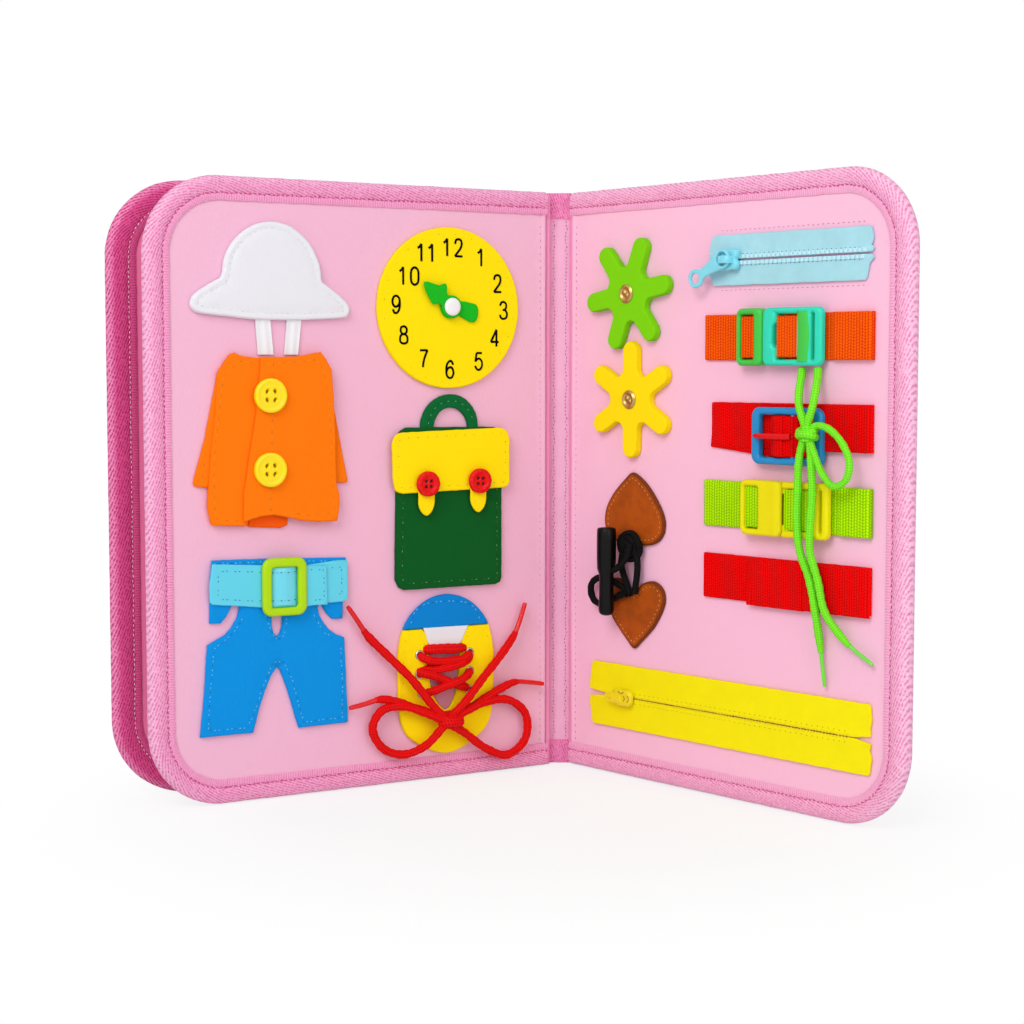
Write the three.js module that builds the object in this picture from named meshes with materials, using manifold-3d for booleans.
// A folding felt activity book that stands open on a table.
// Three stiffened leaves hang on one padded spine, and two of them carry play pieces:
// clothes, a clock, a bag and a shoe on the middle leaf, and zips, straps, buckles,
// turning stars, a toggle and a lace on the back cover.
// Millimetres, +Z up. The origin is the middle of the spine's foot, and -Y faces the reader.
import * as THREE from "three";
import { mergeVertices } from "three/addons/utils/BufferGeometryUtils.js";
import Module from "manifold-3d";

const wasm = await Module();
wasm.setup();

// Sizes that all the pieces share
const clear = 0.3;
const overrun = 5;
const bite = 0.2;
const half = 0.5;

// The leaves: a board in a felt sleeve, bound with tape on three sides
const leafWidth = 208;
const leafHeight = 280;
const leafCornerRadius = 35;
const boardThick = 3;
const boardMargin = 5;
const sheetThick = 1.5;
const tapeThick = 0.8;
const tapeEdgeWall = 1;
const tapeFaceWidth = 13;
const middleLeafAngle = 34.5;
const frontCoverAngle = 27;
const backCoverAngle = 44.5;

// The spine: a padded strip with one welt seam for each leaf
const spineThick = 5;
const weltRadius = 1.7;
const weltNeck = 1.2;
const middleWeltReach = 4.2;
const coverWeltReach = 0.5;
const coverWeltSpread = 12.5;
const spineEdgeGap = 0.8;

// Felt pieces and webbing
const feltThick = 1.5;
const paddedFeltThick = 2.5;
const foamThick = 3.5;
const webThick = 1.4;
const webWidth = 20.4;

// The white hat and its ribbon
const hatWidth = 77.6;
const hatHeight = leafHeight * 0.1564;
const hatFromSpine = 145.5;
const hatUp = leafHeight * 0.7764;
const ribbonWidth = 7;
const ribbonThick = 0.8;
const ribbonSpread = 15;
const ribbonTuck = 6;

// The coat, with a flap that buttons over its left front
const coatWidth = 76.2;
const coatHeight = leafHeight * 0.2768;
const coatFromSpine = 145.5;
const coatUp = leafHeight * 0.4482;
const coatFrontThick = 1.3;
const coatButtonRadius = 8.2;
const coatButtonThick = 2.4;
const coatButtonRim = 0.6;
const coatButtonFromSpine = 148.4;
const coatButtonUps = [leafHeight * 0.6554, leafHeight * 0.5364];
const buttonHoleWidth = 5;
const buttonHoleHeight = 4;
const shankRadius = 1.3;

// The trousers, their belt and its buckle
const trouserWidth = 74;
const trouserHeight = leafHeight * 0.2829;
const trouserFromSpine = 145.2;
const trouserUp = leafHeight * 0.1118;
const beltWidth = 67;
const beltHeight = leafHeight * 0.065;
const beltFromSpine = 142;
const beltUp = leafHeight * 0.3521;
const beltThick = 1;
const buckleWidth = 22;
const buckleHeight = leafHeight * 0.0954;
const buckleThick = 2.5;
const buckleSideBar = 4.6;
const buckleEndBar = 4;
const buckleCornerRadius = 4;
const buckleFromSpine = 141.2;
const buckleUp = leafHeight * 0.3464;
const humpHeight = 2.2;
const tongueFromSpine = 120.4;

// The clock
const clockRadius = leafHeight * 0.1339;
const clockThick = 2;
const clockFromSpine = 55.1;
const clockUp = leafHeight * 0.8018;
const pinRadius = 1.5;
const pinHeadRadius = 4.5;
const pinHeadThick = 2.2;
const handThick = 1;
const hourHandLength = 14.5;
const minuteHandLength = 21;
const handHubRadius = 4.6;
const hourHandAngle = -14;
const minuteHandAngle = 142;

// The satchel
const bagWidth = 57.3;
const bagHeight = leafHeight * 0.2707;
const bagThick = 2.4;
const bagCornerRadius = 4;
const bagFromSpine = 55;
const bagUp = leafHeight * 0.33;
const handleWidth = 31.4;
const handleRise = 15.4;
const handleStrip = 6.8;
const bagFlapWidth = 62.4;
const bagFlapHeight = leafHeight * 0.095;
const bagFlapUp = leafHeight * 0.4975;
const tabWidth = 8.2;
const tabSpread = 28;
const tabBottomUp = leafHeight * 0.4536;
const tabTopUp = leafHeight * 0.525;
const tabThick = 1.2;
const bagButtonRadius = 5.8;
const bagButtonThick = 2.4;
const bagButtonUp = leafHeight * 0.5064;

// The shoe and its red lace
const shoeWidth = 51.6;
const shoeHeight = leafHeight * 0.2679;
const shoeFromSpine = 57;
const shoeUp = tapeFaceWidth + 2 * clear;
const shoeThick = 2;
const collarUp = leafHeight * 0.2593;
const throatTopWidth = 20;
const throatBottomWidth = 11;
const throatBottomUp = leafHeight * 0.1179;
const eyeletRadius = 2.3;
const eyeletHalfSpread = 13.2;
const eyeletUps = [leafHeight * 0.2125, leafHeight * 0.18, leafHeight * 0.1479];
const laceRadius = 1.9;
const laceBowOut = 12.4;
const knotRadius = 4.2;

// The stars that turn on press studs
const starReach = leafHeight * 0.0982;
const starFingerWidth = leafHeight * 0.0379;
const starHubRadius = leafHeight * 0.0429;
const greenStarFromSpine = 42.3;
const greenStarUp = leafHeight * 0.8236;
const greenStarTurn = 9;
const yellowStarFromSpine = 44.4;
const yellowStarUp = leafHeight * 0.6464;
const yellowStarTurn = 30;
const studHeadRadius = 4.4;
const studHeadThick = 1.2;
const studShankRadius = 1.5;

// The zips
const zipTapeThick = 1.1;
const chainHeight = 1.3;
const chainWidth = 4.6;
const chainGap = 1.1;
const blueZipLength = 91;
const blueZipWidth = 22.4;
const blueZipFromSpine = 138.5;
const blueZipUp = leafHeight * 0.8721;
const sliderLength = 13;
const sliderWidth = 9.6;
const sliderThick = 2.6;
const blueSliderFromSpine = 108;
const bridgeRise = 3.6;
const bridgeBar = 1.4;
const bridgeLength = 8;
const bridgeWidth = 3.4;
const pullLength = 24;
const pullWidth = 8.4;
const pullThick = 1.2;
const pullHoleRadius = 2.5;
const pullEyeRadius = 2.3;
const pullEyeRim = 1.3;
const pullDroop = 18;
const yellowZipLength = 170;
const yellowZipWidth = 30.4;
const yellowZipFromSpine = 101.4;
const yellowZipUp = leafHeight * 0.1382;
const yellowZipNotch = 12;
const yellowSliderFromSpine = 41;
const yellowSliderLength = 11;
const yellowSliderWidth = 7.4;
const yellowSliderThick = 2.2;

// The webbing straps
const strapLeftFromSpine = 90.6;
const strapRightFromSpine = 185.6;
const orangeUp = leafHeight * 0.7486;
const redUp = leafHeight * 0.6086;
const limeUp = leafHeight * 0.4814;
const gripUp = leafHeight * 0.3643;
const strapUnderSocket = 9;
const strapUnderPlug = 20;

// The side-release buckles
const clipHeight = 24.4;
const clipThick = 4.6;
const clipBar = 3.4;
const clipSlot = 5.6;
const clipRail = 2.6;
const clipHousing = 15;
const clipPlugBody = 27;
const clipProngLength = 11;
const clipProngWidth = 3.2;
const clipProngThick = 2;
const clipWall = 1.2;
const clipCornerRadius = 2.4;
const orangeClipFromSpine = 114;
const limeClipFromSpine = 115.6;
const barWeb = 4.4;

// The frame buckle with its prong
const frameWidth = 39;
const frameHeight = 23.8;
const frameThick = 4;
const frameBar = 4.2;
const frameRail = 2.2;
const frameCornerRadius = 3;
const frameFromSpine = 141.6;
const middleBarFromSpine = 145;
const middleBarRadius = 1.2;
const prongEyeWall = 0.6;
const prongWidth = 3.2;
const prongThick = 1.5;

// The grip strap
const gripFreeEndFromSpine = 117.4;
const gripFoldFromSpine = 150;

// The leather toggle fastening
const patchWidth = 39.6;
const patchThick = 2;
const upperPatchHeight = leafHeight * 0.13;
const upperPatchUp = leafHeight * 0.4029;
const lowerPatchHeight = leafHeight * 0.1171;
const lowerPatchUp = leafHeight * 0.2243;
const patchFromSpine = 45;
const toggleRadius = 4.2;
const toggleWaistRadius = 3.5;
const toggleLength = leafHeight * 0.1429;
const toggleFromSpine = 33.4;
const toggleUp = leafHeight * 0.35;
const toggleCordRadius = 1.6;
const toggleDiscRadius = 6.4;
const toggleDiscThick = 2.6;
const toggleDiscFromSpine = 49;
const toggleDiscUp = leafHeight * 0.4107;

// The green lace
const greenLaceRadius = 2.2;
const greenLaceOut = 14.3;
const greenKnotRadius = 4.5;

// How finely round shapes are drawn
const cornerSteps = 5;
const discSides = 28;
const smallSides = 14;
const tubeSides = 8;

// Distances in front of a leaf's middle plane
const feltFace = boardThick / 2 + clear + sheetThick;
const tapeInside = feltFace + clear;
const tapeOutside = tapeInside + tapeThick;
const seat = feltFace + clear;
const leafInner = weltRadius + clear;
const spineFront = spineThick / 2;

const radians = THREE.MathUtils.degToRad;

// A closed mesh as a solid that can be joined and cut
function solidOf(geometry) {
  const bare = geometry.index ? geometry.toNonIndexed() : geometry.clone();
  bare.deleteAttribute("normal");
  bare.deleteAttribute("uv");
  const merged = mergeVertices(bare, 1e-4);
  return new wasm.Manifold(
    new wasm.Mesh({
      numProp: 3,
      vertProperties: merged.attributes.position.array,
      triVerts: new Uint32Array(merged.index.array),
    }),
  );
}

function geometryOf(solid) {
  const mesh = solid.getMesh();
  const geometry = new THREE.BufferGeometry();
  geometry.setAttribute("position", new THREE.BufferAttribute(mesh.vertProperties, 3));
  geometry.setIndex(new THREE.BufferAttribute(mesh.triVerts, 1));
  geometry.computeVertexNormals();
  return geometry;
}

function join(first, ...others) {
  return others.reduce((whole, one) => whole.add(one), first);
}

function cut(first, ...others) {
  return others.reduce((whole, one) => whole.subtract(one), first);
}

// A flat piece with its outline in X and Z, from `back` to `back + thick` in front of the leaf
function plate(points, back, thick, holes = []) {
  const shape = new THREE.Shape(points);
  shape.holes = holes.map((hole) => new THREE.Path(hole));
  const geometry = new THREE.ExtrudeGeometry(shape, { depth: thick, bevelEnabled: false });
  geometry.rotateX(radians(90));
  geometry.translate(0, -back, 0);
  return solidOf(geometry);
}

function arc(x, z, radius, from, to, steps) {
  return Array.from({ length: steps + 1 }, (_, i) => {
    const turn = radians(from + ((to - from) * i) / steps);
    return new THREE.Vector2(x + radius * Math.cos(turn), z + radius * Math.sin(turn));
  });
}

function circle(x, z, radius, sides = smallSides) {
  return arc(x, z, radius, 0, 360, sides).slice(0, sides);
}

function roundRectangle(x, z, width, height, radius, steps = cornerSteps) {
  const r = Math.max(radius, clear);
  const right = x + width / 2 - r;
  const left = x - width / 2 + r;
  const top = z + height / 2 - r;
  const bottom = z - height / 2 + r;
  return [
    ...arc(right, bottom, r, -90, 0, steps),
    ...arc(right, top, r, 0, 90, steps),
    ...arc(left, top, r, 90, 180, steps),
    ...arc(left, bottom, r, 180, 270, steps),
  ];
}

function rectangle(left, right, bottom, top) {
  return [
    new THREE.Vector2(left, bottom),
    new THREE.Vector2(right, bottom),
    new THREE.Vector2(right, top),
    new THREE.Vector2(left, top),
  ];
}

// An outline given as shares of a width and a height, from the middle of its lower side
function scaled(shares, x, z, width, height) {
  return shares.map(([u, v]) => new THREE.Vector2(x + u * width, z + v * height));
}

// The right half of an outline, from its lower middle up to its top, and the same mirrored
function mirrored(halfShares) {
  const left = halfShares
    .filter(([u]) => u > 0)
    .map(([u, v]) => [-u, v])
    .reverse();
  return [...halfShares, ...left];
}

function smooth(points, count) {
  const path = points.map((p) => new THREE.Vector3(p.x, p.y, 0));
  const curve = new THREE.CatmullRomCurve3(path, true, "centripetal");
  return curve
    .getPoints(count)
    .slice(0, count)
    .map((p) => new THREE.Vector2(p.x, p.y));
}

// A round bar along X, Y or Z, from a named start
function bar(axis, radius, length, x, y, z, sides = smallSides, endRadius = radius) {
  const geometry = new THREE.CylinderGeometry(endRadius, radius, length, sides);
  geometry.translate(0, length / 2, 0);
  if (axis === "x") geometry.rotateZ(radians(-90));
  if (axis === "y") geometry.rotateX(radians(180));
  if (axis === "z") geometry.rotateX(radians(90));
  geometry.translate(x, y, z);
  return solidOf(geometry);
}

// A disc that faces the reader, from `back` to `back + thick` in front of the leaf
function disc(x, z, radius, back, thick, sides = discSides) {
  return plate(circle(x, z, radius, sides), back, thick);
}

function block(width, depth, height, x, y, z) {
  const geometry = new THREE.BoxGeometry(width, depth, height);
  geometry.translate(x, y, z);
  return solidOf(geometry);
}

// A round cord through points of X, Z and the distance in front of the leaf
function cord(points, radius, steps, sides = tubeSides) {
  const path = points.map(([x, z, out]) => new THREE.Vector3(x, -out, z));
  const curve = new THREE.CatmullRomCurve3(path, false, "centripetal");
  const section = new THREE.Shape(circle(0, 0, radius, sides));
  return solidOf(
    new THREE.ExtrudeGeometry(section, { steps, bevelEnabled: false, extrudePath: curve }),
  );
}

// A lace's line in millimetres, from its shares of the leaf and of its distance in front
function laceRoute(x, shares, out) {
  return shares.map(([u, v, w]) => [x(u * leafWidth), v * leafHeight, w * out]);
}

function ball(radius, x, z, out) {
  const geometry = new THREE.SphereGeometry(radius, smallSides, cornerSteps + 2);
  geometry.translate(x, -out, z);
  return solidOf(geometry);
}

const feltPink = new THREE.MeshStandardMaterial({ color: 0xf7b4cf, roughness: 0.95 });
const tapePink = new THREE.MeshStandardMaterial({ color: 0xf27fb4, roughness: 0.8 });
const boardGrey = new THREE.MeshStandardMaterial({ color: 0xb9ab98, roughness: 0.9 });
const feltWhite = new THREE.MeshStandardMaterial({ color: 0xf3f3f3, roughness: 0.95 });
const feltOrange = new THREE.MeshStandardMaterial({ color: 0xff7a05, roughness: 0.95 });
const feltBlue = new THREE.MeshStandardMaterial({ color: 0x0a8fdc, roughness: 0.95 });
const feltSky = new THREE.MeshStandardMaterial({ color: 0x66d2e8, roughness: 0.9 });
const feltYellow = new THREE.MeshStandardMaterial({ color: 0xffe600, roughness: 0.95 });
const feltGreen = new THREE.MeshStandardMaterial({ color: 0x045a1e, roughness: 0.95 });
const foamGreen = new THREE.MeshStandardMaterial({ color: 0x6fc815, roughness: 0.7 });
const foamYellow = new THREE.MeshStandardMaterial({ color: 0xffe000, roughness: 0.7 });
const plasticYellow = new THREE.MeshStandardMaterial({ color: 0xffe100, roughness: 0.35 });
const plasticRed = new THREE.MeshStandardMaterial({ color: 0xd90d10, roughness: 0.35 });
const plasticLime = new THREE.MeshStandardMaterial({ color: 0xb4d90c, roughness: 0.4 });
const plasticGreen = new THREE.MeshStandardMaterial({ color: 0x22b43c, roughness: 0.4 });
const plasticTurquoise = new THREE.MeshStandardMaterial({ color: 0x1fcfb4, roughness: 0.4 });
const plasticBlue = new THREE.MeshStandardMaterial({ color: 0x0d86c8, roughness: 0.4 });
const plasticWhite = new THREE.MeshStandardMaterial({ color: 0xf6f6f6, roughness: 0.35 });
const plasticBlack = new THREE.MeshStandardMaterial({ color: 0x0a0a0a, roughness: 0.4 });
const zipSky = new THREE.MeshStandardMaterial({ color: 0x7fdcee, roughness: 0.6 });
const zipYellow = new THREE.MeshStandardMaterial({ color: 0xffe800, roughness: 0.7 });
const webOrange = new THREE.MeshStandardMaterial({ color: 0xff5a00, roughness: 0.8 });
const webRed = new THREE.MeshStandardMaterial({ color: 0xe60000, roughness: 0.8 });
const webLime = new THREE.MeshStandardMaterial({ color: 0x9fe00a, roughness: 0.8 });
const laceRed = new THREE.MeshStandardMaterial({ color: 0xe3000b, roughness: 0.8 });
const laceGreen = new THREE.MeshStandardMaterial({ color: 0x6be51e, roughness: 0.8 });
const leather = new THREE.MeshStandardMaterial({ color: 0xa5520f, roughness: 0.6 });
const metal = new THREE.MeshStandardMaterial({ color: 0xc9b68a, roughness: 0.3, metalness: 1 });

const book = new THREE.Group();

// Adds a named piece to its leaf. A piece that moves is placed by its pivot.
function add(group, name, solid, material, pivot = new THREE.Vector3()) {
  const geometry = geometryOf(solid.translate([-pivot.x, -pivot.y, -pivot.z]));
  const mesh = new THREE.Mesh(geometry, material);
  mesh.name = name;
  mesh.position.copy(pivot);
  group.add(mesh);
}

// The outline of a leaf, drawn in by `inset` on its three free sides
function leafOutline(side, inset, hingeInset) {
  const r = leafCornerRadius - inset;
  const outer = leafInner + leafWidth - inset - r;
  const hinge = leafInner + hingeInset;
  return [
    new THREE.Vector2(hinge, inset),
    ...arc(outer, inset + r, r, -90, 0, cornerSteps + 3),
    ...arc(outer, leafHeight - inset - r, r, 0, 90, cornerSteps + 3),
    new THREE.Vector2(hinge, leafHeight - inset),
  ].map((p) => new THREE.Vector2(side * p.x, p.y));
}

// One leaf: its board, its felt sleeve and its binding tape
function addLeaf(name, side, turn, axisX, axisY) {
  const group = new THREE.Group();
  group.position.set(axisX, axisY, 0);
  group.rotation.z = radians(-side * turn);
  book.add(group);

  const feltInset = tapeEdgeWall + clear;
  const board = plate(leafOutline(side, feltInset, boardMargin), -boardThick / 2, boardThick);
  const slotThick = boardThick + 2 * clear;
  const slot = plate(
    leafOutline(side, feltInset - overrun, boardMargin - clear),
    -slotThick / 2,
    slotThick,
  );
  const sleeve = cut(plate(leafOutline(side, feltInset, 0), -feltFace, 2 * feltFace), slot);
  const binding = cut(
    plate(leafOutline(side, 0, 0), -tapeOutside, 2 * tapeOutside),
    plate(leafOutline(side, tapeEdgeWall, -overrun), -tapeInside, 2 * tapeInside),
    plate(
      leafOutline(side, tapeFaceWidth, -overrun),
      -tapeOutside - overrun,
      2 * (tapeOutside + overrun),
    ),
  );
  add(group, name + "_board", board, boardGrey);
  add(group, name + "_felt", sleeve, feltPink);
  add(group, name + "_binding", binding, tapePink);
  return group;
}

function addSpine() {
  const middleY = -spineFront - middleWeltReach;
  const coverY = -spineFront - coverWeltReach;
  const width = 2 * (coverWeltSpread - spineEdgeGap);
  let strip = block(width, spineThick, leafHeight, 0, 0, leafHeight / 2);
  strip = join(
    strip,
    bar("z", weltRadius, leafHeight, 0, middleY, 0),
    block(weltNeck, middleWeltReach + bite, leafHeight, 0, (middleY - spineFront + bite) / 2, leafHeight / 2),
  );
  for (const side of [-1, 1]) {
    strip = join(strip, bar("z", weltRadius, leafHeight, side * coverWeltSpread, coverY, 0));
  }
  add(book, "spine_panel", strip, tapePink);
  return { middleY, coverY };
}

// Outlines, as shares of the width and the height of the piece that they draw
const hatHalfShares = [
  [0, 0],
  [0.339, 0.015],
  [0.468, 0.07],
  [0.5, 0.142],
  [0.477, 0.233],
  [0.327, 0.406],
  [0.29, 0.486],
  [0.28, 0.655],
  [0.223, 0.84],
  [0.128, 0.954],
  [0, 1],
];
const coatHalfShares = [
  [0.413, 0],
  [0.413, 0.235],
  [0.5, 0.235],
  [0.383, 0.903],
  [0.282, 1],
];
const coatFrontShares = [
  [-0.413, 0],
  [0.11, 0],
  [0.11, 1],
  [-0.282, 1],
  [-0.383, 0.903],
  [-0.4, 0.235],
];
const coatFlapShares = [
  [-0.16, 0.012],
  [0.4, 0.012],
  [0.39, 0.235],
  [0.372, 0.9],
  [0.275, 0.985],
  [-0.07, 0.985],
];
const trouserHalfShares = [
  [0, 0.366],
  [0.161, 0],
  [0.498, 0],
  [0.475, 0.503],
  [0.34, 0.6],
  [0.307, 0.69],
  [0.33, 0.715],
  [0.385, 0.65],
  [0.46, 0.615],
  [0.462, 0.73],
  [0.5, 0.735],
  [0.5, 1],
  [0, 1],
];
const flyShares = [
  [0, -0.5],
  [0.5, -0.2],
  [0.4, 0.5],
  [-0.4, 0.5],
  [-0.5, -0.2],
];
const flyWidth = 5;
const flyHeight = leafHeight * 0.0446;
const flyUp = leafHeight * 0.2839;
const shoeHalfShares = [
  [0, 0],
  [0.26, 0.06],
  [0.43, 0.155],
  [0.485, 0.27],
  [0.5, 0.5],
  [0.498, 0.63],
  [0.45, 0.79],
  [0.34, 0.9],
  [0.18, 0.975],
  [0, 1],
];
const hourHandHalfShares = [
  [0.16, 0],
  [0.16, 0.35],
  [0.3, 0.6],
  [0.3, 0.95],
  [0.16, 1],
];
const minuteHandHalfShares = [
  [0.12, 0],
  [0.12, 0.55],
  [0.26, 0.62],
  [0.2, 0.8],
  [0.1, 1],
];
const upperPatchHalfShares = [
  [0, 0.12],
  [0.16, 0.02],
  [0.32, 0],
  [0.45, 0.1],
  [0.5, 0.3],
  [0.42, 0.55],
  [0.23, 0.82],
  [0, 1],
];
const lowerPatchHalfShares = [
  [0, 0],
  [0.2, 0.2],
  [0.4, 0.47],
  [0.5, 0.74],
  [0.46, 0.93],
  [0.33, 1],
  [0.16, 0.97],
  [0, 0.8],
];

function addHat(leaf, x) {
  const middle = x(hatFromSpine);
  const coatTop = coatUp + coatHeight;
  const ribbonTop = hatUp + ribbonTuck;
  const ribbonBottom = coatTop + clear;
  const ribbon = (grow, back, thick) => {
    const leg = (side, lean) => {
      const foot = middle + (side * ribbonSpread) / 2 - side * lean;
      const top = middle + (side * ribbonSpread) / 2;
      const w = ribbonWidth / 2 + grow;
      return plate(
        [
          new THREE.Vector2(foot - w, ribbonBottom),
          new THREE.Vector2(foot + w, ribbonBottom),
          new THREE.Vector2(top + w, ribbonTop + grow),
          new THREE.Vector2(top - w, ribbonTop + grow),
        ],
        back,
        thick,
      );
    };
    const across = rectangle(
      middle - ribbonSpread / 2,
      middle + ribbonSpread / 2,
      ribbonTop - ribbonTuck / 2 - grow,
      ribbonTop + grow,
    );
    return join(leg(-1, ribbonWidth / 4), leg(1, ribbonWidth / 4), plate(across, back, thick));
  };
  const outline = smooth(scaled(mirrored(hatHalfShares), middle, hatUp, hatWidth, hatHeight), 48);
  const room = ribbon(clear, seat - clear, ribbonThick + 2 * clear);
  add(leaf, "hat", cut(plate(outline, seat, paddedFeltThick), room), feltWhite);
  add(leaf, "hat_ribbon", ribbon(0, seat, ribbonThick), feltWhite);
}

function addCoat(leaf, x) {
  const middle = x(coatFromSpine);
  const shape = (shares) => scaled(shares, middle, coatUp, coatWidth, coatHeight);
  const frontBack = seat + feltThick;
  const flapBack = frontBack + coatFrontThick + clear;
  const flapFront = flapBack + coatFrontThick;
  const buttonX = x(coatButtonFromSpine);
  const back = join(
    plate(shape(mirrored(coatHalfShares)), seat, feltThick),
    plate(shape(coatFrontShares), frontBack - bite, coatFrontThick + bite),
  );
  const holes = coatButtonUps.map((up) =>
    roundRectangle(buttonX, up, buttonHoleWidth, buttonHoleHeight, buttonHoleHeight / 3, 2),
  );
  const flap = plate(shape(coatFlapShares), flapBack, coatFrontThick, holes);
  const flapEdge = middle + coatFlapShares[1][0] * coatWidth;
  add(leaf, "coat_back", back, feltOrange);
  add(leaf, "coat_flap", flap, feltOrange, new THREE.Vector3(flapEdge, -flapFront, coatUp));
  coatButtonUps.forEach((up, i) => {
    const discBack = flapFront + clear;
    const button = cut(
      join(
        disc(buttonX, up, coatButtonRadius, discBack, coatButtonThick),
        disc(buttonX, up, shankRadius, flapBack, discBack - flapBack + bite, smallSides),
      ),
      disc(
        buttonX,
        up,
        coatButtonRadius * 0.72,
        discBack + coatButtonThick - coatButtonRim,
        overrun,
        discSides,
      ),
    );
    add(leaf, ["coat_button_upper", "coat_button_lower"][i], button, plasticYellow);
  });
}

function addTrousers(leaf, x) {
  const middle = x(trouserFromSpine);
  const outline = scaled(
    mirrored(trouserHalfShares),
    middle,
    trouserUp,
    trouserWidth,
    trouserHeight,
  );
  const fly = scaled(flyShares, middle, flyUp, flyWidth, flyHeight);
  const beltBack = seat + feltThick + clear;
  const beltFront = beltBack + beltThick;
  const beltX = x(beltFromSpine);
  const buckleX = x(buckleFromSpine);
  const windowWidth = buckleWidth - 2 * buckleSideBar;
  const windowHeight = buckleHeight - 2 * buckleEndBar;
  const hump = roundRectangle(
    buckleX,
    (beltUp + buckleUp) / 2,
    windowWidth - 2 * clear,
    beltHeight - (beltUp - buckleUp) - 2 * clear,
    1,
    1,
  );
  const belt = join(
    plate(roundRectangle(beltX, beltUp, beltWidth, beltHeight, clear, 1), beltBack, beltThick),
    plate(hump, beltFront - bite, humpHeight + bite),
  );
  const buckleBack = beltFront + clear;
  const buckle = plate(
    roundRectangle(buckleX, buckleUp, buckleWidth, buckleHeight, buckleCornerRadius),
    buckleBack,
    buckleThick,
    [roundRectangle(buckleX, buckleUp, windowWidth, windowHeight, 1, 2)],
  );
  const tongueLeft = buckleX + buckleWidth / 2 + clear;
  const tongueRight = x(tongueFromSpine);
  const tongue = plate(
    rectangle(tongueLeft, tongueRight, beltUp - beltHeight / 2 + clear, beltUp + beltHeight / 2 - clear),
    buckleBack,
    beltThick,
  );
  add(leaf, "trousers", plate(outline, seat, feltThick, [fly]), feltBlue);
  add(leaf, "trouser_belt", belt, feltSky);
  add(leaf, "belt_buckle", buckle, plasticLime);
  add(
    leaf,
    "belt_tongue",
    tongue,
    feltSky,
    new THREE.Vector3(tongueLeft, -buckleBack - beltThick, beltUp),
  );
}

// A clock hand that points along `angle`, with a hub round the pin
function hand(x, halfShares, length, angle, back) {
  const width = handHubRadius * 3;
  const outline = scaled(mirrored(halfShares), 0, 0, width, length);
  const blade = plate(outline, back, handThick);
  const hub = disc(0, 0, handHubRadius, back, handThick, smallSides);
  const whole = join(blade, hub).rotate([0, 90 - angle, 0]);
  return cut(
    whole.translate([x, 0, clockUp]),
    disc(x, clockUp, pinRadius + clear, back - overrun, handThick + 2 * overrun, smallSides),
  );
}

function addClock(leaf, x) {
  const middle = x(clockFromSpine);
  const hourBack = seat + clockThick + clear;
  const minuteBack = hourBack + handThick + clear;
  const headBack = minuteBack + handThick + clear;
  const face = plate(circle(middle, clockUp, clockRadius, 48), seat, clockThick, [
    circle(middle, clockUp, pinRadius + clear),
  ]);
  const pin = join(
    disc(middle, clockUp, pinRadius, seat, headBack - seat + bite, smallSides),
    disc(middle, clockUp, pinHeadRadius, headBack, pinHeadThick),
  );
  add(leaf, "clock_face", face, feltYellow);
  add(
    leaf,
    "clock_hour_hand",
    hand(middle, hourHandHalfShares, hourHandLength, hourHandAngle, hourBack),
    foamGreen,
    new THREE.Vector3(middle, -hourBack, clockUp),
  );
  add(
    leaf,
    "clock_minute_hand",
    hand(middle, minuteHandHalfShares, minuteHandLength, minuteHandAngle, minuteBack),
    foamGreen,
    new THREE.Vector3(middle, -minuteBack, clockUp),
  );
  add(leaf, "clock_pin", pin, plasticWhite);
}

function addBag(leaf, x) {
  const middle = x(bagFromSpine);
  const bagTop = bagUp + bagHeight;
  const body = plate(
    roundRectangle(middle, bagUp + bagHeight / 2, bagWidth, bagHeight, bagCornerRadius),
    seat,
    bagThick,
  );
  const arch = (width, rise) => [
    new THREE.Vector2(middle + width / 2, bagTop - overrun),
    ...arc(0, 0, 1, 0, 180, 12).map(
      (p) => new THREE.Vector2(middle + (p.x * width) / 2, bagTop + p.y * rise),
    ),
    new THREE.Vector2(middle - width / 2, bagTop - overrun),
  ];
  const opening = arch(handleWidth - 2 * handleStrip, handleRise - handleStrip).slice(1, -1);
  const handle = cut(
    plate(arch(handleWidth, handleRise), seat, feltThick),
    plate(opening, seat - overrun, feltThick + 2 * overrun),
  );
  const flapBack = seat + bagThick + clear;
  const flapFront = flapBack + feltThick;
  const tabs = [-1, 1].map((side) => middle + (side * tabSpread) / 2);
  const shankHoles = tabs.map((at) =>
    disc(at, bagButtonUp, shankRadius + clear, flapBack - overrun, 4 * overrun, smallSides),
  );
  const flapOutline = roundRectangle(
    middle,
    bagFlapUp + bagFlapHeight / 2,
    bagFlapWidth,
    bagFlapHeight,
    bagCornerRadius,
  );
  const flap = cut(
    join(
      plate(flapOutline, flapBack, feltThick),
      ...tabs.map((at) =>
        plate(
          roundRectangle(at, (tabBottomUp + tabTopUp) / 2, tabWidth, tabTopUp - tabBottomUp, tabWidth / 2),
          flapFront - bite,
          tabThick + bite,
        ),
      ),
    ),
    ...shankHoles,
  );
  add(leaf, "bag_body", join(body, handle), feltGreen);
  add(
    leaf,
    "bag_flap",
    flap,
    feltYellow,
    new THREE.Vector3(middle, -flapFront - tabThick, bagFlapUp + bagFlapHeight),
  );
  tabs.forEach((at, i) => {
    const discBack = flapFront + tabThick + clear;
    const button = join(
      disc(at, bagButtonUp, bagButtonRadius, discBack, bagButtonThick),
      disc(at, bagButtonUp, shankRadius, flapBack, discBack - flapBack + bite, smallSides),
    );
    add(leaf, ["bag_button_left", "bag_button_right"][i], button, plasticRed);
  });
}

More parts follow.
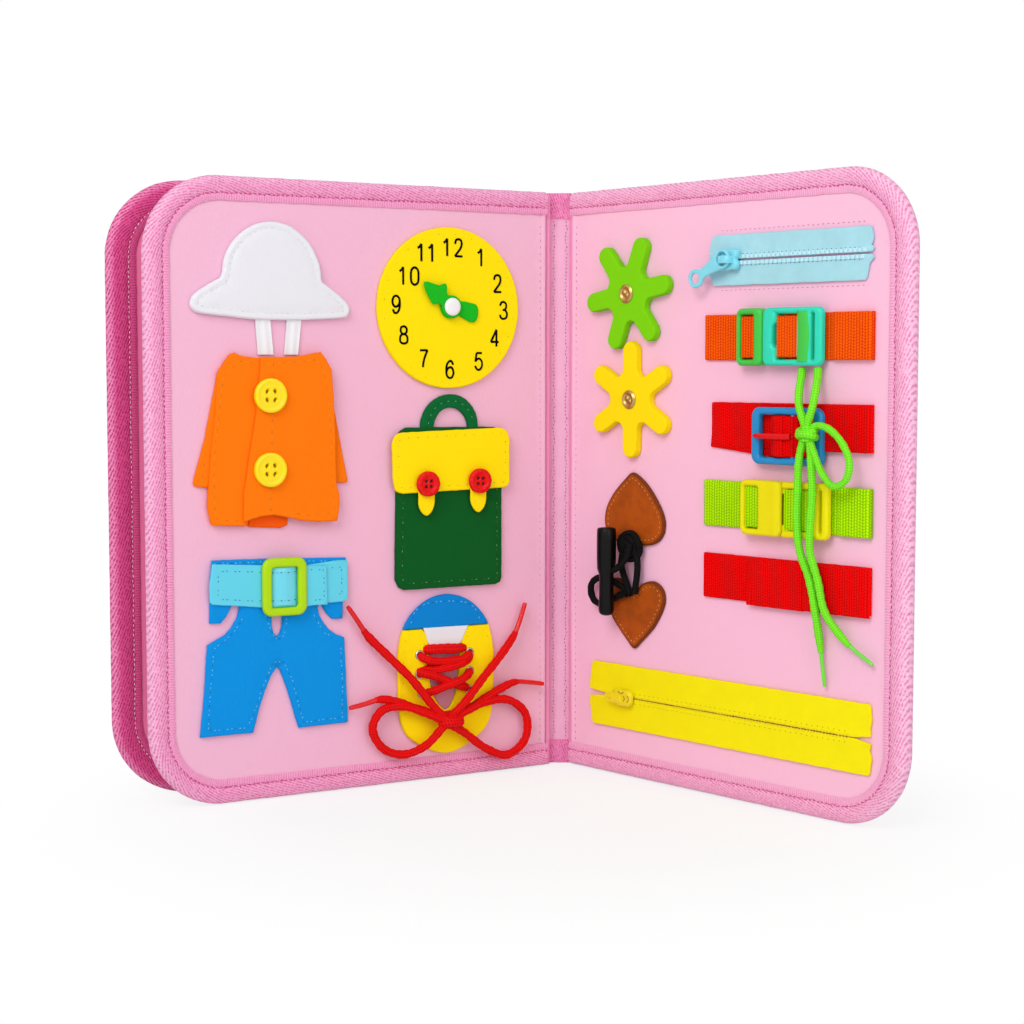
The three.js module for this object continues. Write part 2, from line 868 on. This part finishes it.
// The bow's lines, as shares of the leaf's width and height and of the bow's distance in front
const bowShares = {
  upperLeft: [
    [0.2952, 0.1071, 1],
    [0.3317, 0.1357, 1],
    [0.3798, 0.18, 0.9355],
    [0.4351, 0.2232, 0.6935],
    [0.4808, 0.2571, 0.629],
    [0.5048, 0.2821, 0.629],
    [0.5308, 0.3086, 0.6613],
  ],
  upperRight: [
    [0.2885, 0.1071, 1],
    [0.2428, 0.1357, 1],
    [0.1952, 0.1721, 0.9355],
    [0.1394, 0.2071, 0.6935],
    [0.101, 0.2404, 0.629],
    [0.0841, 0.2657, 0.5968],
    [0.0702, 0.2936, 0.5806],
  ],
  lowerLeft: [
    [0.2952, 0.105, 1],
    [0.3317, 0.12, 0.9032],
    [0.3721, 0.1314, 0.7581],
    [0.4135, 0.1436, 0.6452],
    [0.449, 0.1486, 0.5806],
    [0.4856, 0.1436, 0.5806],
    [0.526, 0.1393, 0.6129],
  ],
  lowerRight: [
    [0.2885, 0.105, 1],
    [0.2452, 0.1157, 0.9032],
    [0.2, 0.1293, 0.7581],
    [0.1442, 0.1464, 0.6452],
    [0.099, 0.1564, 0.5806],
    [0.0577, 0.1536, 0.5806],
    [0.0202, 0.1486, 0.5806],
  ],
  leftLoop: [
    [0.2981, 0.105, 1],
    [0.3413, 0.1196, 0.9516],
    [0.3942, 0.1343, 0.7742],
    [0.4471, 0.13, 0.6452],
    [0.4692, 0.1014, 0.5968],
    [0.4442, 0.0664, 0.5968],
    [0.3942, 0.0521, 0.6452],
    [0.3413, 0.0643, 0.7903],
    [0.2981, 0.0979, 1],
  ],
  rightLoop: [
    [0.2856, 0.105, 1],
    [0.2404, 0.1179, 0.9516],
    [0.1827, 0.1286, 0.7742],
    [0.1154, 0.1264, 0.6452],
    [0.0692, 0.0979, 0.5968],
    [0.0702, 0.0557, 0.5968],
    [0.1202, 0.0314, 0.6452],
    [0.1827, 0.0479, 0.7903],
    [0.25, 0.0836, 0.9194],
    [0.2856, 0.0979, 1],
  ],
};

function addShoe(leaf, x) {
  const middle = x(shoeFromSpine);
  const outline = smooth(scaled(mirrored(shoeHalfShares), middle, shoeUp, shoeWidth, shoeHeight), 44);
  const whole = plate(outline, seat, shoeThick);
  const above = (up) => block(leafWidth, leafWidth, leafHeight, middle, 0, up + leafHeight / 2);
  const throat = (inset) => {
    const top = throatTopWidth / 2 - inset;
    const low = throatBottomWidth / 2 - inset;
    return [
      new THREE.Vector2(middle - top, collarUp - clear),
      ...arc(middle, throatBottomUp + throatBottomWidth / 2, low, 180, 360, 6),
      new THREE.Vector2(middle + top, collarUp - clear),
    ];
  };
  const throatTop = rectangle(
    middle - throatTopWidth / 2,
    middle + throatTopWidth / 2,
    collarUp - 2 * clear,
    collarUp + clear,
  );
  const upper = cut(
    whole,
    above(collarUp),
    plate(throat(0), seat - overrun, shoeThick + 2 * overrun),
    plate(throatTop, seat - overrun, shoeThick + 2 * overrun),
    ...eyeletUps.flatMap((up) =>
      [-1, 1].map((side) =>
        disc(
          middle + side * eyeletHalfSpread,
          up,
          eyeletRadius,
          seat - overrun,
          shoeThick + 2 * overrun,
          smallSides,
        ),
      ),
    ),
  );
  const collar = whole.intersect(above(collarUp + clear));
  const laceOut = seat + shoeThick + clear + laceRadius;
  const [top, mid, low] = eyeletUps;
  const left = middle - eyeletHalfSpread;
  const right = middle + eyeletHalfSpread;
  const lacing = cord(
    [
      [right, top, laceOut],
      [middle, top + laceRadius, laceOut],
      [left, top, laceOut],
      [left - laceRadius, (top + mid) / 2 + 2 * laceRadius, laceOut],
      [middle, (top + mid) / 2, laceOut],
      [right, mid + laceRadius, laceOut],
      [right + laceRadius, mid - laceRadius / 2, laceOut],
      [middle, (top + mid + mid + low) / 4 - laceRadius, laceOut],
      [left - laceRadius, mid - laceRadius, laceOut],
      [left, (mid + low) / 2 - laceRadius / 2, laceOut],
      [middle, (mid + low) / 2 - laceRadius, laceOut],
      [right, low, laceOut],
    ],
    laceRadius,
    60,
    6,
  );
  const [leftOfKnot] = laceRoute(x, bowShares.leftLoop, laceBowOut);
  const [rightOfKnot] = laceRoute(x, bowShares.rightLoop, laceBowOut);
  const bow = join(
    ball(knotRadius, (leftOfKnot[0] + rightOfKnot[0]) / 2, leftOfKnot[1] - bite, laceBowOut),
    ...Object.entries(bowShares).map(([name, shares]) =>
      cord(laceRoute(x, shares, laceBowOut), laceRadius, name.endsWith("Loop") ? 26 : 14),
    ),
  );
  add(leaf, "shoe_upper", upper, feltYellow);
  add(leaf, "shoe_collar", collar, feltBlue);
  add(leaf, "shoe_tongue", plate(throat(clear), seat, feltThick), feltWhite);
  add(leaf, "red_lace_crossing", lacing, laceRed);
  add(leaf, "red_lace_bow", bow, laceRed);
}

function addStar(leaf, x, name, fromSpine, up, turn, material) {
  const middle = x(fromSpine);
  const finger = roundRectangle(0, 0, 2 * starReach, starFingerWidth, starFingerWidth / 2);
  const arm = plate(finger, seat, foamThick);
  const star = cut(
    join(
      plate(circle(0, 0, starHubRadius, discSides), seat, foamThick),
      ...[0, 60, 120].map((a) => arm.rotate([0, -a - turn, 0])),
    ).translate([middle, 0, up]),
    disc(middle, up, studShankRadius + clear, seat - overrun, foamThick + 2 * overrun, smallSides),
  );
  const headBack = seat + foamThick + clear;
  const stud = join(
    disc(middle, up, studShankRadius, seat, headBack - seat + bite, smallSides),
    disc(middle, up, studHeadRadius, headBack, studHeadThick, discSides),
  );
  const pivot = new THREE.Vector3(middle, -seat, up);
  add(leaf, name, star, material, pivot);
  add(leaf, name + "_stud", stud, metal, pivot);
}

function zipTapes(middle, up, length, width, slotFrom, notch) {
  const tape = roundRectangle(middle, up, length, width, clear, 1);
  const chainBack = seat + zipTapeThick;
  const chain = rectangle(
    middle - length / 2 + notch,
    middle + length / 2 - notch,
    up - chainWidth / 2,
    up + chainWidth / 2,
  );
  let whole = join(
    plate(tape, seat, zipTapeThick),
    plate(chain, chainBack - bite, chainHeight + bite),
  );
  for (const side of [-1, 1]) {
    const end = middle + (side * length) / 2;
    const wedge = [
      new THREE.Vector2(end + side * overrun, up - chainWidth / 2),
      new THREE.Vector2(end + side * overrun, up + chainWidth / 2),
      new THREE.Vector2(end - side * (notch - clear), up),
    ];
    whole = cut(whole, plate(wedge, seat - overrun, 3 * overrun));
  }
  if (slotFrom) {
    const slot = rectangle(slotFrom, middle + length, up - chainGap / 2, up + chainGap / 2);
    whole = cut(whole, plate(slot, seat - overrun, 3 * overrun));
  }
  return whole;
}

function addBlueZip(leaf, x) {
  const middle = x(blueZipFromSpine);
  const sliderX = x(blueSliderFromSpine);
  const sliderBack = seat + zipTapeThick + chainHeight + clear;
  const sliderFront = sliderBack + sliderThick;
  const tapes = zipTapes(
    middle,
    blueZipUp,
    blueZipLength,
    blueZipWidth,
    sliderX + sliderLength / 2,
    overrun,
  );
  const slider = plate(
    roundRectangle(sliderX, blueZipUp, sliderLength, sliderWidth, sliderWidth / 3, 3),
    sliderBack,
    sliderThick,
  );
  const post = (side) =>
    block(
      bridgeBar,
      bridgeRise + bite,
      bridgeWidth,
      sliderX + (side * (bridgeLength - bridgeBar)) / 2,
      -sliderFront - (bridgeRise - bite) / 2,
      blueZipUp,
    );
  const bridge = block(
    bridgeLength,
    bridgeBar,
    bridgeWidth,
    sliderX,
    -sliderFront - bridgeRise + bridgeBar / 2,
    blueZipUp,
  );
  const pullOut = sliderFront + clear;
  const eyeX = sliderX - (bridgeLength - bridgeBar) / 2;
  const eyeEnd = pullEyeRadius + pullEyeRim;
  const pullOutline = roundRectangle(eyeEnd - pullLength / 2, 0, pullLength, pullWidth, eyeEnd, 4);
  const pull = plate(pullOutline, pullOut, pullThick, [
    circle(eyeEnd + pullWidth / 2 - pullLength, 0, pullHoleRadius),
    circle(0, 0, pullEyeRadius),
  ])
    .rotate([0, -pullDroop, 0])
    .translate([eyeX, 0, blueZipUp]);
  add(leaf, "blue_zip_tapes", tapes, zipSky);
  add(
    leaf,
    "blue_zip_slider",
    join(slider, post(-1), post(1), bridge),
    zipSky,
    new THREE.Vector3(sliderX, -sliderBack, blueZipUp),
  );
  add(
    leaf,
    "blue_zip_pull",
    pull,
    zipSky,
    new THREE.Vector3(eyeX, -pullOut - pullThick, blueZipUp),
  );
}

function addYellowZip(leaf, x) {
  const middle = x(yellowZipFromSpine);
  const sliderX = x(yellowSliderFromSpine);
  const sliderBack = seat + zipTapeThick + chainHeight + clear;
  const tapes = zipTapes(middle, yellowZipUp, yellowZipLength, yellowZipWidth, 0, yellowZipNotch);
  const slider = join(
    plate(
      roundRectangle(
        sliderX,
        yellowZipUp,
        yellowSliderLength,
        yellowSliderWidth,
        yellowSliderWidth / 3,
        3,
      ),
      sliderBack,
      yellowSliderThick,
    ),
    plate(
      roundRectangle(
        sliderX - yellowSliderLength / 2,
        yellowZipUp - bridgeBar,
        yellowSliderLength,
        yellowSliderWidth / 2,
        yellowSliderWidth / 5,
        2,
      ),
      sliderBack + yellowSliderThick - bite,
      pullThick,
    ),
  );
  add(leaf, "yellow_zip_tapes", tapes, zipYellow);
  add(
    leaf,
    "yellow_zip_slider",
    slider,
    zipYellow,
    new THREE.Vector3(sliderX, -sliderBack, yellowZipUp),
  );
}

function strap(leaf, name, left, right, up, back, material, pivot) {
  const outline = rectangle(left, right, up - webWidth / 2, up + webWidth / 2);
  add(leaf, name, plate(outline, back, webThick), material, pivot);
}

// A side-release buckle: the socket is sewn to the left strap, and the plug slides out to the right
function addClip(leaf, x, colourName, fromSpine, up, webMaterial, socketMaterial, plugMaterial) {
  const left = x(fromSpine);
  const back = seat + webThick + clear;
  const socketLength = clipBar + clipSlot + clipHousing;
  const socketRight = left + socketLength;
  const plugLeft = socketRight + clear;
  const plugRight = plugLeft + clipPlugBody;
  const prongOut = back + (clipThick - clipProngThick) / 2;
  const prongSpread = clipHeight / 2 - clipWall - clipRail;
  const slotHeight = clipHeight - 2 * clipRail;
  const window = (from, length) =>
    plate(
      roundRectangle(from + length / 2, up, length, slotHeight, clipWall, 1),
      back - overrun,
      clipThick + 2 * overrun,
    );
  const hollow = plate(
    rectangle(
      left + clipBar + clipSlot + clipWall,
      socketRight + overrun,
      up - clipHeight / 2 + clipWall,
      up + clipHeight / 2 - clipWall,
    ),
    prongOut - clear,
    clipProngThick + 2 * clear,
  );
  const socket = cut(
    plate(
      roundRectangle((left + socketRight) / 2, up, socketLength, clipHeight, clipCornerRadius, 3),
      back,
      clipThick,
    ),
    window(left + clipBar, clipSlot),
    hollow,
  );
  const secondSlotFrom = plugLeft + clipBar + clipSlot + barWeb;
  const prong = (side) =>
    plate(
      rectangle(
        plugLeft - clipProngLength,
        plugLeft + clipBar,
        up + side * prongSpread - clipProngWidth / 2,
        up + side * prongSpread + clipProngWidth / 2,
      ),
      prongOut,
      clipProngThick,
    );
  const guide = plate(
    rectangle(
      plugLeft - clipProngLength,
      plugLeft + clipBar,
      up - clipProngWidth / 2,
      up + clipProngWidth / 2,
    ),
    prongOut,
    clipProngThick,
  );
  const plugBody = cut(
    plate(
      roundRectangle((plugLeft + plugRight) / 2, up, clipPlugBody, clipHeight, clipCornerRadius, 3),
      back,
      clipThick,
    ),
    window(plugLeft + clipBar, clipSlot + barWeb / 2),
    window(secondSlotFrom + barWeb / 2, plugRight - clipBar - secondSlotFrom - barWeb / 2),
  );
  strap(
    leaf,
    colourName + "_strap_left",
    x(strapLeftFromSpine),
    left + clipBar + strapUnderSocket,
    up,
    seat,
    webMaterial,
  );
  strap(
    leaf,
    colourName + "_strap_right",
    plugRight - strapUnderPlug,
    x(strapRightFromSpine),
    up,
    seat,
    webMaterial,
  );
  add(leaf, colourName + "_buckle_socket", socket, socketMaterial);
  add(
    leaf,
    colourName + "_buckle_plug",
    join(plugBody, prong(-1), prong(1), guide),
    plugMaterial,
    new THREE.Vector3(plugLeft, -back, up),
  );
  return { plugLeft, plugRight, back };
}

function addRedBelt(leaf, x) {
  const back = seat + webThick + clear;
  const middle = x(frameFromSpine);
  const barX = x(middleBarFromSpine);
  const barOut = back + frameThick * 0.55;
  const eyeInner = middleBarRadius + clear;
  const eyeOuter = eyeInner + prongEyeWall;
  const windowWidth = frameWidth - 2 * frameBar;
  const windowHeight = frameHeight - 2 * frameRail;
  const frame = join(
    plate(
      roundRectangle(middle, redUp, frameWidth, frameHeight, frameCornerRadius, 4),
      back,
      frameThick,
      [roundRectangle(middle, redUp, windowWidth, windowHeight, 1, 2)],
    ),
    bar(
      "z",
      middleBarRadius,
      windowHeight + 2 * bite,
      barX,
      -barOut,
      redUp - windowHeight / 2 - bite,
    ),
  );
  const armBack = back + frameThick + clear;
  const armLeft = middle - frameWidth / 2 + frameBar / 4;
  const low = redUp - prongWidth / 2;
  const high = redUp + prongWidth / 2;
  const eyeY = -barOut;
  const arm = plate(rectangle(armLeft, barX + eyeOuter / 2, low, high), armBack, prongThick);
  const link = block(
    eyeOuter,
    armBack + eyeY - eyeInner * 0.9 + bite,
    prongWidth,
    barX,
    (eyeY - eyeInner * 0.9 - armBack - bite) / 2,
    redUp,
  );
  const prong = cut(
    join(bar("z", eyeOuter, prongWidth, barX, eyeY, low), arm, link),
    bar("z", eyeInner, prongWidth + 2 * overrun, barX, eyeY, low - overrun),
  );
  strap(leaf, "red_strap", x(strapLeftFromSpine) + barWeb, x(strapRightFromSpine), redUp, seat, webRed);
  add(leaf, "blue_buckle_frame", frame, plasticBlue);
  add(leaf, "red_buckle_prong", prong, plasticRed, new THREE.Vector3(barX, eyeY, redUp));
}

// The grip strap: a hook strap with a loop strap sewn on its right part and peeling off its left
function addGripStrap(leaf, x) {
  const fold = x(gripFoldFromSpine);
  const upperBack = seat + webThick + clear;
  const low = gripUp - webWidth / 2;
  const high = gripUp + webWidth / 2;
  const right = x(strapRightFromSpine);
  const base = join(
    plate(rectangle(x(strapLeftFromSpine), right, low, high), seat, webThick),
    plate(rectangle(fold + clear, right, low, high), seat + webThick - bite, webThick + clear + bite),
  );
  add(leaf, "grip_strap_base", base, webRed);
  strap(
    leaf,
    "grip_strap_flap",
    x(gripFreeEndFromSpine),
    fold,
    gripUp,
    upperBack,
    webRed,
    new THREE.Vector3(fold, -upperBack - webThick, gripUp),
  );
}

function addToggle(leaf, x) {
  const middle = x(patchFromSpine);
  const patchFront = seat + patchThick;
  const cordOut = patchFront + clear + toggleCordRadius;
  const discX = x(toggleDiscFromSpine);
  const barX = x(toggleFromSpine);
  const barOut = cordOut + toggleCordRadius + clear + toggleRadius;
  const patch = (halfShares, up, height) =>
    plate(smooth(scaled(mirrored(halfShares), middle, up, patchWidth, height), 40), seat, patchThick);
  const notchUp = lowerPatchUp + lowerPatchHeight;
  const loop = cord(
    [
      [middle + toggleCordRadius, notchUp - toggleDiscRadius, cordOut],
      [middle - toggleDiscRadius / 2, notchUp, cordOut],
      [barX - toggleRadius, notchUp + toggleCordRadius, cordOut],
      [barX - 2 * toggleRadius, notchUp - toggleRadius, cordOut],
      [barX - 2 * toggleRadius, notchUp - 2 * toggleRadius, cordOut],
      [barX - toggleRadius, notchUp - 3 * toggleRadius, cordOut],
      [barX + toggleRadius, notchUp - 3 * toggleRadius, cordOut],
      [middle - toggleCordRadius, notchUp - 2 * toggleRadius, cordOut],
    ],
    toggleCordRadius,
    40,
  );
  const strand = (side) =>
    cord(
      [
        [discX + (side * toggleDiscRadius) / 2, toggleDiscUp, cordOut],
        [discX + side * toggleDiscRadius * 0.9, toggleDiscUp - toggleDiscRadius * 1.4, cordOut],
        [middle + toggleCordRadius * (1 + side), notchUp - toggleDiscRadius, cordOut],
      ],
      toggleCordRadius,
      12,
    );
  const fixed = join(
    disc(discX, toggleDiscUp, toggleDiscRadius, patchFront + clear, toggleDiscThick, smallSides),
    loop,
    strand(-1),
    strand(1),
  );
  const lower = toggleUp - toggleLength / 2;
  const middleUp = lower + toggleLength * 0.45;
  const rod = join(
    bar("z", toggleRadius, toggleLength / 2, barX, -barOut, toggleUp, smallSides, toggleRadius * 1.06),
    bar("z", toggleRadius * 0.9, toggleLength / 2 + bite, barX, -barOut, lower, smallSides, toggleWaistRadius * 1.15),
    ball(toggleRadius * 0.9, barX, lower, barOut),
  );
  const eyeOut = patchFront + toggleDiscThick + 3 * clear + toggleCordRadius;
  const tether = (rise) =>
    cord(
      [
        [barX, middleUp + rise, barOut],
        [(barX + discX) / 2, middleUp + rise + toggleDiscRadius / 2, barOut],
        [discX - toggleCordRadius, toggleDiscUp - toggleCordRadius, eyeOut],
        [discX + toggleCordRadius, toggleDiscUp, eyeOut],
      ],
      toggleCordRadius,
      12,
    );
  add(leaf, "leather_patch_upper", patch(upperPatchHalfShares, upperPatchUp, upperPatchHeight), leather);
  add(leaf, "leather_patch_lower", patch(lowerPatchHalfShares, lowerPatchUp, lowerPatchHeight), leather);
  add(leaf, "toggle_cord", fixed, plasticBlack);
  add(
    leaf,
    "toggle_bar",
    join(rod, tether(toggleCordRadius)),
    plasticBlack,
    new THREE.Vector3(discX, -eyeOut, toggleDiscUp),
  );
}

// The green lace's lines, as shares of the leaf's width and height and of its distance in front
const greenLaceShares = {
  leftStrand: [
    [0.7144, 0.6986, 0.4266],
    [0.7192, 0.6857, 0.5594],
    [0.7279, 0.6679, 0.7972],
    [0.7356, 0.6429, 0.9371],
    [0.7529, 0.6089, 0.9371],
  ],
  rightStrand: [
    [0.7558, 0.6986, 0.4266],
    [0.7625, 0.6857, 0.5594],
    [0.7712, 0.6679, 0.7972],
    [0.7721, 0.6429, 0.9371],
    [0.7577, 0.6089, 0.9371],
  ],
  loop: [
    [0.7596, 0.6021, 0.9371],
    [0.7837, 0.6129, 0.9371],
    [0.8173, 0.6071, 0.9371],
    [0.851, 0.5857, 0.9371],
    [0.8683, 0.5571, 0.9371],
    [0.8587, 0.5321, 0.9371],
    [0.8288, 0.5221, 0.9371],
    [0.801, 0.5379, 0.9371],
    [0.7788, 0.5679, 0.9371],
    [0.7615, 0.595, 0.9371],
  ],
  leftEnd: [
    [0.7519, 0.6, 0.9371],
    [0.7375, 0.5643, 0.9231],
    [0.7327, 0.5143, 0.9091],
    [0.7308, 0.4643, 0.8951],
    [0.7356, 0.4214, 0.8392],
    [0.7548, 0.375, 0.6993],
    [0.7683, 0.3286, 0.6573],
    [0.7712, 0.2786, 0.4755],
    [0.7731, 0.2643, 0.4476],
    [0.7827, 0.2107, 0.4196],
  ],
  rightEnd: [
    [0.7625, 0.6, 0.9371],
    [0.7673, 0.5643, 0.9231],
    [0.7712, 0.5143, 0.9091],
    [0.7663, 0.4643, 0.8951],
    [0.7625, 0.4214, 0.8392],
    [0.7769, 0.375, 0.6993],
    [0.7933, 0.3286, 0.6573],
    [0.8269, 0.2929, 0.4895],
    [0.8462, 0.28, 0.4476],
    [0.9058, 0.255, 0.4196],
  ],
};

function addGreenLace(leaf, x, clip) {
  const [knot] = laceRoute(x, greenLaceShares.loop, greenLaceOut);
  const lace = join(
    ball(greenKnotRadius, knot[0] - bite, knot[1], greenLaceOut),
    ...Object.entries(greenLaceShares).map(([name, shares]) =>
      cord(laceRoute(x, shares, greenLaceOut), greenLaceRadius, name === "loop" ? 26 : 20),
    ),
  );
  add(leaf, "green_lace", lace, laceGreen, new THREE.Vector3(clip.plugLeft, -clip.back, orangeUp));
}

const { middleY, coverY } = addSpine();
addLeaf("front_cover", -1, frontCoverAngle, -coverWeltSpread, coverY);
const page = addLeaf("middle_leaf", -1, middleLeafAngle, 0, middleY);
const cover = addLeaf("back_cover", 1, backCoverAngle, coverWeltSpread, coverY);
const onPage = (fromSpine) => -leafInner - fromSpine;
const onCover = (fromSpine) => leafInner + fromSpine;

addHat(page, onPage);
addCoat(page, onPage);
addTrousers(page, onPage);
addClock(page, onPage);
addBag(page, onPage);
addShoe(page, onPage);

addStar(cover, onCover, "green_star", greenStarFromSpine, greenStarUp, greenStarTurn, foamGreen);
addStar(cover, onCover, "yellow_star", yellowStarFromSpine, yellowStarUp, yellowStarTurn, foamYellow);
addBlueZip(cover, onCover);
const orangeClip = addClip(
  cover,
  onCover,
  "orange",
  orangeClipFromSpine,
  orangeUp,
  webOrange,
  plasticGreen,
  plasticTurquoise,
);
addRedBelt(cover, onCover);
addClip(
  cover,
  onCover,
  "lime",
  limeClipFromSpine,
  limeUp,
  webLime,
  plasticYellow,
  plasticYellow,
);
addGripStrap(cover, onCover);
addToggle(cover, onCover);
addYellowZip(cover, onCover);
addGreenLace(cover, onCover, orangeClip);

export default book;
